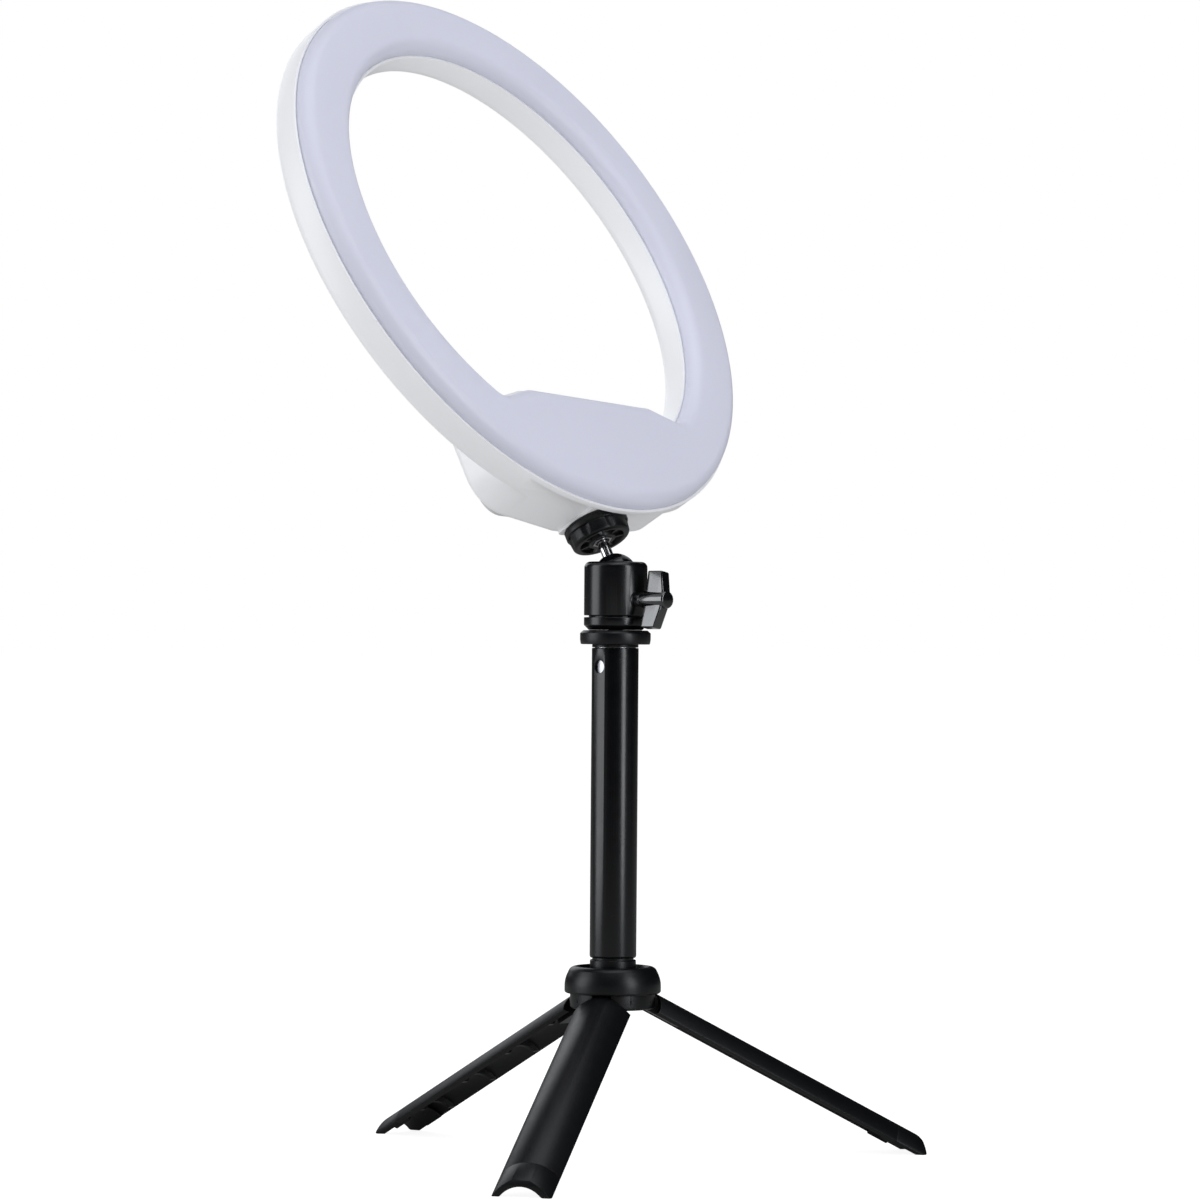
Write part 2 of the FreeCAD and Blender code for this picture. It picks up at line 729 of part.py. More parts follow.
def notch_azimuth():
    way = stem_direction()
    return math.degrees(math.atan2(way.x, -way.y))


def notch_cut():
    """The flared slot that lets the stem lie down level."""
    flare = math.radians(ROLL_LIMIT)
    half = STEM_R + GAP + 0.1
    top = HOUSING_TOP + 2
    side_x = half * math.cos(flare)
    side_z = -half * math.sin(flare)
    mouth = side_x + (top - side_z) * math.tan(flare)
    points = [Vector(mouth, 0, top), Vector(-mouth, 0, top), Vector(-side_x, 0, side_z)]
    arc = Part.Arc(points[2], Vector(0, 0, -half), Vector(side_x, 0, side_z)).toShape()
    edges = [
        Part.LineSegment(points[0], points[1]).toShape(),
        Part.LineSegment(points[1], points[2]).toShape(),
        arc,
        Part.LineSegment(Vector(side_x, 0, side_z), points[0]).toShape(),
    ]
    face = Part.Face(Part.Wire(edges))
    slot = face.extrude(Vector(0, -HOUSING_R - 2, 0))
    slot.translate(BALL_CENTRE)
    return turned(slot, notch_azimuth())


def knob_axis(start, end):
    """A stretch of the clamp knob's axis, from the head's axis outwards."""
    z = BALL_HEIGHT - KNOB_DROP
    return Vector(0, -start, z), Vector(0, -end, z)


def make_ball_housing():
    low = HOUSING_BOTTOM_Z
    body = revolved([
        (0, low, 0),
        (HOUSING_R, low, 0.3),
        (HOUSING_R, HOUSING_RIM_Z, HOUSING_ROUND),
        (0, HOUSING_RIM_Z, 0),
    ])
    boss = cylinder(4.2, *knob_axis(8, KNOB_INNER - KNOB_SCREW_SHOWS))
    body = body.fuse(turned(boss, KNOB_TURN))
    bore_r = HOUSING_R - HOUSING_WALL
    neck = upright(BASE_NECK_R, low - 1, NECK_TOP_Z + SNUG / 2)
    cavity = upright(bore_r, low - 1, BALL_HEIGHT)
    dome = Part.makeSphere(BALL_R + RUN_FIT, BALL_CENTRE)
    screw_bore = turned(cylinder(KNOB_SCREW_R + RUN_FIT, *knob_axis(5, KNOB_INNER)), KNOB_TURN)
    return body.cut([neck, cavity, dome, screw_bore, notch_cut()])


def make_ball_seat():
    """The cup that carries the ball, resting on the base's neck."""
    low = NECK_TOP_Z + SNUG / 2
    outer = HOUSING_R - HOUSING_WALL - SNUG / 2
    cup = upright(outer, low, BALL_HEIGHT - STEM_R - 0.8)
    bowl = Part.makeSphere(SEAT_BOWL_R, BALL_CENTRE)
    swing = math.radians(LINER_ANGLE + ROLL_LIMIT + LINER_EDGE_ROOM)
    shelf = BALL_HEIGHT - SEAT_BOWL_R * math.cos(swing)
    bowl = bowl.common(upright(SEAT_BOWL_R, low - 1, shelf))
    ball_room = Part.makeSphere(BALL_R + RUN_FIT, BALL_CENTRE)
    screw_room = turned(cylinder(KNOB_SCREW_R + GAP, *knob_axis(6.2, HOUSING_R)), KNOB_TURN)
    return cup.cut([bowl, ball_room, screw_room, notch_cut()])


def make_housing_base():
    low = BASE_BOTTOM_Z
    base = revolved([
        (QUARTER_INCH_R + RUN_FIT, low, 0),
        (HOUSING_R - BASE_CHAMFER, low, 0.4),
        (HOUSING_R, low + BASE_CHAMFER, 0.4),
        (HOUSING_R, BASE_TOP_Z, 0.3),
        (BASE_NECK_R - SNUG / 2, BASE_TOP_Z, 0),
        (BASE_NECK_R - SNUG / 2, NECK_TOP_Z, 0),
        (QUARTER_INCH_R + RUN_FIT, NECK_TOP_Z, 0),
    ])
    return base


def make_clamp_screw():
    screw = cylinder(KNOB_SCREW_R, *knob_axis(7.0, KNOB_WING_OUT - 4))
    return turned(screw.makeChamfer(0.5, screw.Edges[2:3]), KNOB_TURN)


def make_clamp_knob():
    start, end = knob_axis(KNOB_INNER, KNOB_END)
    hub = cylinder(KNOB_HUB_R, start, end)
    hub = hub.makeFillet(1.5, [e for e in hub.Edges if abs(e.CenterOfMass.y + KNOB_END) < 1e-3])
    z = start.z
    half = KNOB_SPAN / 2
    wing_face = rounded_outline([
        (Vector(0, -KNOB_WING_IN, z + 3.5), 0.5),
        (Vector(0, -KNOB_WING_IN - 0.5, z + half), 2.0),
        (Vector(0, -KNOB_WING_OUT + 0.8, z + half), 2.5),
        (Vector(0, -KNOB_WING_OUT, z + 4), 3.0),
        (Vector(0, -KNOB_END + 0.4, z), 0.5),
        (Vector(0, -KNOB_WING_OUT, z - 4), 3.0),
        (Vector(0, -KNOB_WING_OUT + 0.8, z - half), 2.5),
        (Vector(0, -KNOB_WING_IN - 0.5, z - half), 2.0),
        (Vector(0, -KNOB_WING_IN, z - 3.5), 0.5),
    ])
    wings = Part.Face(wing_face).extrude(Vector(KNOB_THICK, 0, 0))
    wings.translate(Vector(-KNOB_THICK / 2, 0, 0))
    knob = hub.fuse(wings).cut(cylinder(KNOB_SCREW_R, *knob_axis(KNOB_INNER - 1, KNOB_WING_OUT - 4)))
    knob.rotate(start, Vector(0, 1, 0), KNOB_ROLL)
    return turned(knob, KNOB_TURN)


# ---- pole

def make_platform():
    low = CAP_RIM_TOP_Z
    high = PLATFORM_TOP_Z
    disc = revolved([
        (QUARTER_INCH_R, low, 0),
        (PLATFORM_R - 0.3, low, 0.6),
        (PLATFORM_R, low + 2.0, 0),
        (PLATFORM_R, high - 1.2, 0.3),
        (PLATFORM_R - 1.4, high, 0.3),
        (QUARTER_INCH_R, high, 0),
    ])
    recess = upright(PLATFORM_PAD_R + SNUG, high - PLATFORM_PAD_THICK + 0.15, high + 1)
    return disc.cut(recess)


def make_platform_pad():
    low = PLATFORM_TOP_Z - PLATFORM_PAD_THICK + 0.15
    high = low + PLATFORM_PAD_THICK
    return upright(PLATFORM_PAD_R, low, high).cut(upright(QUARTER_INCH_R + SNUG, low - 1, high + 1))


def make_platform_stud():
    return upright(QUARTER_INCH_R, CAP_RIM_TOP_Z - 10, HOUSING_BOTTOM_Z + 3.5)


def make_pole_cap():
    plug_low = INNER_TOP_Z - 16.0
    cap = revolved([
        (0, plug_low, 0),
        (INNER_BORE_R - SNUG / 2, plug_low, 0.8),
        (INNER_BORE_R - SNUG / 2, INNER_TOP_Z, 0),
        (TUBE_R - 0.1, INNER_TOP_Z, 0.2),
        (TUBE_R - 0.1, CAP_RIM_TOP_Z, 0),
        (0, CAP_RIM_TOP_Z, 0),
    ])
    return cap.cut(upright(QUARTER_INCH_R, CAP_RIM_TOP_Z - 10, CAP_RIM_TOP_Z + 1))


def snap_line(start, end, z):
    """A stretch of the snap button's axis, from the pole's axis outwards."""
    return Vector(0, -start, z), Vector(0, -end, z)


def snap_button_z():
    return INNER_BOTTOM + SNAP_BUTTON_UP


def make_inner_tube():
    bore = upright(INNER_BORE_R, INNER_BOTTOM - 1, INNER_TOP_Z + 1)
    pipe = upright(INNER_R, INNER_BOTTOM, INNER_TOP_Z).cut(bore)
    hole = cylinder(SNAP_HOLE_R - 0.2 + RUN_FIT, *snap_line(1, INNER_R + 1, snap_button_z()))
    return pipe.cut(turned(hole, SNAP_TURN))


def make_snap_button():
    z = snap_button_z()
    radius = SNAP_HOLE_R - 0.2
    stem = cylinder(radius, *snap_line(5.0, TUBE_BORE_R + 1, z))
    stem = stem.common(upright(TUBE_BORE_R - RUN_FIT, z - 5, z + 5))
    flange = cylinder(radius + 0.9, *snap_line(5.0, 6.0, z))
    return turned(stem.fuse(flange), SNAP_TURN)


def make_snap_spring():
    """A bent strip inside the tube: one arm behind the button, the other on the far wall."""
    z = snap_button_z()
    half_w = 2.0
    thick = 0.5
    near = -5.0 + SNAP_PRESS + 0.2
    far = math.sqrt((INNER_BORE_R - 0.1) ** 2 - half_w ** 2)
    front_arm = block((-half_w, near, z - 3), (half_w, near + thick, z + 22))
    back_arm = block((-half_w, far - thick, z - 3), (half_w, far, z + 22))
    bend = block((-half_w, near, z + 22 - thick), (half_w, far, z + 22))
    return turned(merged([front_arm, back_arm, bend]), SNAP_TURN)


def make_outer_tube():
    pipe = revolved([
        (TUBE_BORE_R, TUBE_BOTTOM, 0),
        (TUBE_R - 0.3, TUBE_BOTTOM, 0.2),
        (TUBE_R, TUBE_BOTTOM + 0.8, 0.2),
        (TUBE_R, TUBE_TOP_Z, 0.4),
        (TUBE_BORE_R, TUBE_TOP_Z, 0),
    ])
    hole = cylinder(SNAP_HOLE_R, *snap_line(2, TUBE_R + 1, SNAP_HOLE_Z))
    return pipe.cut(turned(hole, SNAP_TURN))


def make_tube_plug():
    """The plug under the outer tube: a ring that shows, and a body inside the tube."""
    ring_low = COLLAR_TOP - COLLAR_DISH
    plug = revolved([
        (BOLT_R, ring_low, 0),
        (TUBE_R - 0.15, ring_low, 0),
        (TUBE_R - 0.15, PLUG_RING_TOP, 0.4),
        (TUBE_BORE_R - SNUG / 2, PLUG_RING_TOP, 0),
        (TUBE_BORE_R - SNUG / 2, INNER_BOTTOM - 2, 0.6),
        (BOLT_R, INNER_BOTTOM - 2, 0),
    ])
    return plug


# ---- foot

def make_hub_collar():
    dish_z = COLLAR_TOP - COLLAR_DISH
    return revolved([
        (BOLT_R + SNUG, HUB_TOP + SNUG, 0),
        (HUB_R + SNUG, HUB_TOP + SNUG, 0),
        (HUB_R + SNUG, COLLAR_BOTTOM, 0),
        (COLLAR_R, COLLAR_BOTTOM, 1.0),
        (COLLAR_R, COLLAR_TOP - 5.6, 12.0),
        (COLLAR_R - 2.6, COLLAR_TOP, 3.0),
        (COLLAR_DISH_R, COLLAR_TOP, 0.4),
        (COLLAR_DISH_R - 1.2, dish_z, 0.6),
        (BOLT_R + SNUG, dish_z, 0),
    ])


def make_hub_body():
    body = revolved([
        (0, HUB_BOTTOM, 0),
        (HUB_R, HUB_BOTTOM, HUB_ROUND),
        (HUB_R, HUB_TOP, 0.3),
        (0, HUB_TOP, 0),
    ])
    cuts = [
        upright(BOLT_R + SNUG, HUB_BOTTOM - 1, HUB_TOP + 1),
        upright(BOLT_HEAD_R + 0.6, HUB_BOTTOM - 1, HUB_BOTTOM + 5),
    ]
    slot_half = LUG_HALF + GAP
    slot_top = HINGE_Z + LUG_R + GAP + 0.4
    for i in range(LEG_COUNT):
        slot_end = -HINGE_R + LUG_R + GAP + 0.4
        slot = block((-slot_half, -HUB_R - 1, HUB_BOTTOM - 1), (slot_half, slot_end, slot_top))
        bore = hinge_line(PIN_R, LUG_HALF + 8.0)
        cuts += [turned(slot, 360.0 * i / LEG_COUNT), turned(bore, 360.0 * i / LEG_COUNT)]
    return body.cut(cuts)


def hinge_line(radius, half_length):
    return cylinder(radius, Vector(-half_length, -HINGE_R, HINGE_Z), Vector(half_length, -HINGE_R, HINGE_Z))


def make_hinge_pins():
    pin = hinge_line(PIN_R, LUG_HALF + 8.0)
    return Part.makeCompound([turned(pin, 360.0 * i / LEG_COUNT) for i in range(LEG_COUNT)])


def make_centre_bolt():
    head = upright(BOLT_HEAD_R, HUB_BOTTOM + 2.0, HUB_BOTTOM + 5.0)
    return head.fuse(upright(BOLT_R, HUB_BOTTOM + 4.0, INNER_BOTTOM - 4))


def make_hub_bottom_cap():
    return upright(BOLT_HEAD_R + 0.55, HUB_BOTTOM, HUB_BOTTOM + 1.8)


def leg_sector(outer, inner, low, high):
    """A folded leg's curved wall: part of a pipe whose axis hangs just in front of the pole's."""
    centre = Vector(0, -LEG_AXIS_R, low)
    pipe = Part.makeCylinder(outer, high - low, centre).cut(Part.makeCylinder(inner, high - low, centre))
    reach = 3 * outer
    half = math.radians(LEG_HALF_ANGLE)
    side = reach * math.sin(half)
    front = -LEG_AXIS_R - reach * math.cos(half)
    corners = [
        Vector(0, -LEG_AXIS_R, low),
        Vector(side, front, low),
        Vector(side, -LEG_AXIS_R - 2 * reach, low),
        Vector(-side, -LEG_AXIS_R - 2 * reach, low),
        Vector(-side, front, low),
    ]
    wedge = Part.Face(Part.makePolygon(corners + corners[:1])).extrude(Vector(0, 0, high - low))
    return pipe.common(wedge)


def leg_length():
    """From the hinge to the tip along the leg."""
    return (FOOT_REACH - HINGE_R) / math.cos(math.radians(LEG_SLOPE))


def swung_out(shape):
    """A folded leg's piece, turned about its hinge to where the leg stands open."""
    copy = shape.copy()
    copy.rotate(Vector(0, -HINGE_R, HINGE_Z), Vector(1, 0, 0), -FOLD_ANGLE)
    return copy


def tip_envelope():
    """What an open leg keeps: above the floor and behind its rounded tip."""
    outline = rounded_outline([
        (Vector(0, 0, 0), 0),
        (Vector(0, -FOOT_REACH, 0), 0.8),
        (Vector(0, -FOOT_REACH, 12.0), 0),
        (Vector(0, -FOOT_REACH + 40, 100.0), 0),
        (Vector(0, 0, 100.0), 0),
    ])
    room = Part.Face(outline).extrude(Vector(60, 0, 0))
    room.translate(Vector(-30, 0, 0))
    return room


def nose_cut():
    """Rounds the tip's upper edge, following the leg's slope."""
    slope = math.radians(LEG_SLOPE)
    crest = FOLDED_REACH - HINGE_R
    top_z = HINGE_Z - (FOOT_REACH - HINGE_R) * math.tan(slope) + crest / math.cos(slope)
    run = 30.0
    outline = rounded_outline([
        (Vector(0, -FOOT_REACH + run, top_z + run * math.tan(slope)), 0),
        (Vector(0, -FOOT_REACH, top_z), NOSE_ROUND),
        (Vector(0, -FOOT_REACH, -5), 0),
        (Vector(0, -FOOT_REACH + run, -5), 0),
    ])
    keep = Part.Face(outline).extrude(Vector(60, 0, 0))
    keep.translate(Vector(-30, 0, 0))
    whole = block((-30, -FOOT_REACH - 5, -5), (30, -FOOT_REACH + run, 60))
    return whole.cut(keep)


def make_leg_and_cap():
    top = HINGE_Z + 14.0
    tip = HINGE_Z - leg_length() - 12.0
    joint_z = HINGE_Z - leg_length() + FOOT_CAP_LENGTH
    channel = leg_sector(LEG_R, LEG_R - LEG_WALL, joint_z, top)
    ribs = []
    inner = LEG_R - LEG_WALL
    rib_edge = LEG_AXIS_R + inner * math.cos(math.radians(LEG_HALF_ANGLE)) + GAP
    for i in range(RIB_COUNT):
        z = joint_z + RIB_INSET + (HINGE_Z - joint_z - 2.5 * RIB_INSET) * i / (RIB_COUNT - 1)
        rib = leg_sector(LEG_R - LEG_WALL / 2, inner - RIB_DEEP, z, z + RIB_THICK)
        ribs.append(rib.common(block((-LEG_R, -2 * LEG_R, z - 1), (LEG_R, -rib_edge, z + 3))))
    neck_top = -(FOLDED_REACH - LEG_WALL / 2)
    neck = block((-LUG_HALF, neck_top, HINGE_Z - 20.0), (LUG_HALF, -HINGE_R + LUG_R - 0.6, HINGE_Z))
    lug = cylinder(LUG_R, Vector(-LUG_HALF, -HINGE_R, HINGE_Z), Vector(LUG_HALF, -HINGE_R, HINGE_Z))
    bore = hinge_line(PIN_R + RUN_FIT, LUG_HALF + 1)
    hub_room = upright(HUB_R + GAP + 0.1, HUB_BOTTOM - 30, COLLAR_TOP + 10)
    lid = block((-30, -FOOT_REACH, COLLAR_BOTTOM - GAP), (30, 0, COLLAR_TOP + 30))
    hub_corner = math.hypot(HUB_R - HUB_ROUND - HINGE_R, HINGE_Z - HUB_BOTTOM - HUB_ROUND) + HUB_ROUND
    arch = swung_out(merged([channel] + ribs)).cut([hub_room, lid, hinge_line(hub_corner + GAP, LEG_R + 1)])
    leg = merged([arch, swung_out(neck.fuse(lug))]).cut([swung_out(bore), lid])
    cap = leg_sector(LEG_R, inner, tip, joint_z)
    root = leg_sector(inner + 0.5, inner - 1.5, joint_z - 4, joint_z)
    tongue = leg_sector(inner - SNUG / 2, inner - 1.5, joint_z - 1, joint_z + 6)
    cap = swung_out(merged([cap, root, tongue])).common(tip_envelope()).cut(nose_cut())
    return leg.common(tip_envelope()), cap


# ---- all pieces

def save_head():
    opening = opening_face()
    pieces = {
        "rear_shell": make_rear_shell(opening),
        "diffuser": make_diffuser(opening),
        "led_board": make_led_board(),
        "led_chips": make_led_chips(),
        "control_cover": make_control_cover(),
        "control_board": make_control_board(),
        "tact_switches": make_tact_switches(),
        "board_parts": make_board_parts(),
        "power_inlet": make_power_inlet(),
        "lead_wires": make_lead_wires(),
        "shell_screws": make_shell_screws(),
        "thread_insert": make_thread_insert(),
    }
    for name, x, z in button_points():
        pieces[f"button_{name}"] = make_button(x, z)
    for name, shape in pieces.items():
        save(placed(shape, RING_PLACE), name)


def save_ball_head():
    for name, shape in {
        "ball": make_ball(),
        "ball_stud": make_ball_stud(),
        "lock_wheel": make_lock_wheel(),
        "wheel_nut": make_wheel_nut(),
        "wheel_pad": make_wheel_pad(),
        "ball_liner": placed(make_ball_liner(), Placement(Vector(), HEAD_ROTATION.inverted())),
    }.items():
        save(placed(shape, HEAD_PLACE), name)
    save(make_ball_housing(), "ball_housing")
    save(make_ball_seat(), "ball_seat")
    save(make_housing_base(), "housing_base")
    save(make_clamp_screw(), "clamp_screw")
    save(make_clamp_knob(), "clamp_knob")


def save_pole():
    save(make_platform(), "platform")
    save(make_platform_pad(), "platform_pad")
    save(make_platform_stud(), "platform_stud")
    save(make_pole_cap(), "pole_cap")
    save(make_inner_tube(), "inner_tube")
    save(make_snap_button(), "snap_button")
    save(make_snap_spring(), "snap_spring")
    save(make_outer_tube(), "outer_tube")
    save(make_tube_plug(), "tube_plug")


def save_foot():
    save(make_hub_collar(), "hub_collar")
    save(make_hub_body(), "hub_body")
    save(make_hinge_pins(), "hinge_pins")
    save(make_centre_bolt(), "centre_bolt")
    save(make_hub_bottom_cap(), "hub_bottom_cap")
    leg, cap = make_leg_and_cap()
    for i, side in enumerate(("front", "right", "left")):
        save(turned(leg, 360.0 * i / LEG_COUNT), f"leg_{side}")
        save(turned(cap, 360.0 * i / LEG_COUNT), f"foot_cap_{side}")


os.makedirs("parts", exist_ok=True)
save_head()
save_ball_head()
save_pole()
save_foot()
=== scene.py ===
import json
import math

import bpy
from bpy.props import FloatProperty, FloatVectorProperty, PointerProperty
from bpy.types import Operator, Panel, PropertyGroup
from mathutils import Matrix, Vector

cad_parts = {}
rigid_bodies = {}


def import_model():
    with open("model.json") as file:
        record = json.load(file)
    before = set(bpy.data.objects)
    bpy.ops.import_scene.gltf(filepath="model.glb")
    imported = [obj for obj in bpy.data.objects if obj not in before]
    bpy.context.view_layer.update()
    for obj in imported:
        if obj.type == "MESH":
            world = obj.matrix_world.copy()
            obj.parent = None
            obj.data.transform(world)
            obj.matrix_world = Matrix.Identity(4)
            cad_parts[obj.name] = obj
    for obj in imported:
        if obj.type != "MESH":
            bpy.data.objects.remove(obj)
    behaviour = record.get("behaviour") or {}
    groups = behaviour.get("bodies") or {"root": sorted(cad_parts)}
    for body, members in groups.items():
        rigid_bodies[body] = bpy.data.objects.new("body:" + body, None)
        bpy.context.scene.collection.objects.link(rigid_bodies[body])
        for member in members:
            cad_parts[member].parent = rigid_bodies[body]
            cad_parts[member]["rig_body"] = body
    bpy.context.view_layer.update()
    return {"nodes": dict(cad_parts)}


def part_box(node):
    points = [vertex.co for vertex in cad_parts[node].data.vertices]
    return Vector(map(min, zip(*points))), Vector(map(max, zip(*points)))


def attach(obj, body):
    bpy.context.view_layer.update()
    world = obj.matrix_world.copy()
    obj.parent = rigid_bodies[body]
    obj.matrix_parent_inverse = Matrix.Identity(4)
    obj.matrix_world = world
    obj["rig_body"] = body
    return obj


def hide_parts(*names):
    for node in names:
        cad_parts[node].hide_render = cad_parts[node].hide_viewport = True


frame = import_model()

bl_info = {
    "name": "Ring Light Finishes",
    "version": (1, 0, 0),
    "blender": (4, 5, 0),
    "location": "3D View > Sidebar > Ring Light",
    "description": "Gives the ring light its finished pieces, surfaces, floor, lamps and camera",
    "category": "Object",
}

# An edge sharper than this, in degrees, is rounded and stays an edge in the shading
HARD_ANGLE = 34.0

# The clamp knob, in metres and degrees, measured outwards from the head's axis
WING_IN = 0.0191
WING_OUT = 0.0280
WING_THICK = 0.0050
WING_RIM = 0.0016
WAIST = 0.0040
HUB_START = 0.0166
HUB_LENGTH = 0.0145
HUB_RADIUS = 0.0037
KNOB_TURN = -29.6
KNOB_ROLL = -11.0

# The camera: its side turned from the front leg, its place and its slight tilts
VIEW_TURN = 15.37
VIEW_SIDEWAYS = -0.0067
VIEW_DISTANCE = 1.887
VIEW_HEIGHT = 0.2231
VIEW_PITCH = 0.468
VIEW_ROLL = 0.445

# Each lamp: degrees to the right of the camera's side, distance, height, width and height of
# the box, watts, and the height it faces
LAMPS = {
    "left_softbox": (-80.0, 1.4, 0.5, (0.8, 1.3), 10.0, 0.45),
    "right_strip": (46.0, 1.7, 0.6, (0.42, 1.8), 15.0, 0.5),
    "top_softbox": (20.0, 0.3, 1.7, (1.4, 1.4), 9.5, 0.25),
    "rear_softbox": (-158.0, 1.7, 0.85, (1.3, 0.9), 4.5, 0.25),
}
LAMP_COLOUR = (0.955, 0.985, 1.02)


# ---- sizes and colours a user would change

class RingLightSizes(PropertyGroup):
    edge_round: FloatProperty(
        name="Edge rounding", description="Width of the rounding on moulded edges",
        default=0.0004, min=0.0, unit="LENGTH")
    knob_span: FloatProperty(
        name="Knob span", description="Height of the clamp knob across its wings",
        default=0.0246, min=0.01, unit="LENGTH")
    floor_size: FloatProperty(
        name="Floor size", description="Side of the floor sheet",
        default=80.0, min=1.0, unit="LENGTH")
    lens: FloatProperty(
        name="Lens", description="Focal length of the camera in millimetres",
        default=132.48, min=1.0)


class RingLightColours(PropertyGroup):
    shell: FloatVectorProperty(
        name="Shell", description="White of the moulded shell",
        default=(0.84, 0.84, 0.855), size=3, subtype="COLOR")
    diffuser: FloatVectorProperty(
        name="Diffuser", description="Milky white of the diffuser",
        default=(0.645, 0.65, 0.76), size=3, subtype="COLOR")
    black: FloatVectorProperty(
        name="Black", description="Black of the stand",
        default=(0.003, 0.0033, 0.0042), size=3, subtype="COLOR")
    floor: FloatVectorProperty(
        name="Floor", description="Pale colour of the floor",
        default=(0.3, 0.3, 0.3), size=3, subtype="COLOR")


# ---- helpers

def deselect_all():
    if bpy.context.object is not None and bpy.context.object.mode != "OBJECT":
        bpy.ops.object.mode_set(mode="OBJECT")
    bpy.ops.object.select_all(action="DESELECT")


def make_active(piece):
    deselect_all()
    piece.select_set(True)
    bpy.context.view_layer.objects.active = piece


def new_piece(name, mesh):
    piece = bpy.data.objects.new(name, mesh)
    bpy.context.scene.collection.objects.link(piece)
    return piece


def select_vertices(piece, wanted):
    """Selects the vertices whose place passes the test, in edit mode."""
    bpy.ops.mesh.select_all(action="DESELECT")
    bpy.ops.mesh.select_mode(type="VERT")
    bpy.ops.object.mode_set(mode="OBJECT")
    for vertex in piece.data.vertices:
        vertex.select = wanted(vertex.co)
    bpy.ops.object.mode_set(mode="EDIT")


def apply_modifiers(piece):
    make_active(piece)
    for modifier in list(piece.modifiers):
        bpy.ops.object.modifier_apply(modifier=modifier.name)


def round_edges(piece, width, segments=3, angle=HARD_ANGLE):
    """Rounds the hard edges of a piece and shades the rest smooth."""
    bevel = piece.modifiers.new("edge_round", "BEVEL")
    bevel.width = width
    bevel.segments = segments
    bevel.limit_method = "ANGLE"
    bevel.angle_limit = math.radians(angle)
    bevel.use_clamp_overlap = True
    apply_modifiers(piece)
    bpy.ops.object.shade_smooth_by_angle(angle=math.radians(angle))


def settle(piece, body, finish, *nodes):
    """Applies the piece's place, gives it its surface and body, and stands it in for the nodes."""
    make_active(piece)
    bpy.ops.object.transform_apply(location=True, rotation=True, scale=True)
    wear(piece, finish)
    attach(piece, body)
    if nodes:
        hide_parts(*nodes)


def rounded_copy(node, name, finish, width, segments=3):
    """A welded copy of a CAD node, its edges rounded when a width is given, which stands in its place.
    """
    source = frame["nodes"][node]
    piece = new_piece(name, source.data.copy())
    make_active(piece)
    bpy.ops.mesh.customdata_custom_splitnormals_clear()
    bpy.ops.object.mode_set(mode="EDIT")
    bpy.ops.mesh.select_all(action="SELECT")
    bpy.ops.mesh.remove_doubles(threshold=0.000002)
    bpy.ops.mesh.dissolve_limited(angle_limit=math.radians(0.6))
    bpy.ops.object.mode_set(mode="OBJECT")
    if width > 0:
        round_edges(piece, width, segments)
    else:
        bpy.ops.object.shade_smooth_by_angle(angle=math.radians(HARD_ANGLE))
    settle(piece, source["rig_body"], finish, node)
    return piece


# ---- surface recipes

def new_surface(name):
    """A material with its shader and output, and a function that adds and wires nodes."""
    surface = bpy.data.materials.new(name)
    surface.use_nodes = True
    tree = surface.node_tree
    shader = tree.nodes["Principled BSDF"]
    place = tree.nodes.new("ShaderNodeTexCoord")

    def add(kind, **settings):
        node = tree.nodes.new(kind)
        for key, value in settings.items():
            if key in node.inputs:
                node.inputs[key].default_value = value
            else:
                setattr(node, key, value)
        return node

    return surface, tree, shader, place, add


def link(tree, source, target):
    tree.links.new(source, target)


def noise(tree, place, add, scale, detail, roughness=0.55):
    node = add("ShaderNodeTexNoise", Scale=scale, Detail=detail, Roughness=roughness)
    link(tree, place.outputs["Object"], node.inputs["Vector"])
    return node.outputs["Fac"]


def spread(tree, add, value, low, high):
    """Maps a 0 to 1 noise to a range."""
    node = add("ShaderNodeMapRange")
    node.inputs["From Min"].default_value = 0.3
    node.inputs["From Max"].default_value = 0.7
    node.inputs["To Min"].default_value = low
    node.inputs["To Max"].default_value = high
    link(tree, value, node.inputs["Value"])
    return node.outputs["Result"]


def tint(tree, add, value, dark, light):
    node = add("ShaderNodeMix", data_type="RGBA")
    link(tree, value, node.inputs[0])
    colours = [s for s in node.inputs if s.type == "RGBA"]
    colours[0].default_value = (*dark, 1.0)
    colours[1].default_value = (*light, 1.0)
    return [s for s in node.outputs if s.type == "RGBA"][0]


def relief(tree, add, shader, heights, strength, distance):
    """Bump from one or more heights, each with its own weight."""
    total = None
    for value, weight in heights:
        scaled = add("ShaderNodeMath", operation="MULTIPLY")
        scaled.inputs[1].default_value = weight
        link(tree, value, scaled.inputs[0])
        if total is None:
            total = scaled.outputs[0]
            continue
        joined = add("ShaderNodeMath", operation="ADD")
        link(tree, total, joined.inputs[0])
        link(tree, scaled.outputs[0], joined.inputs[1])
        total = joined.outputs[0]
    bump = add("ShaderNodeBump", Strength=strength, Distance=distance)
    link(tree, total, bump.inputs["Height"])
    link(tree, bump.outputs["Normal"], shader.inputs["Normal"])


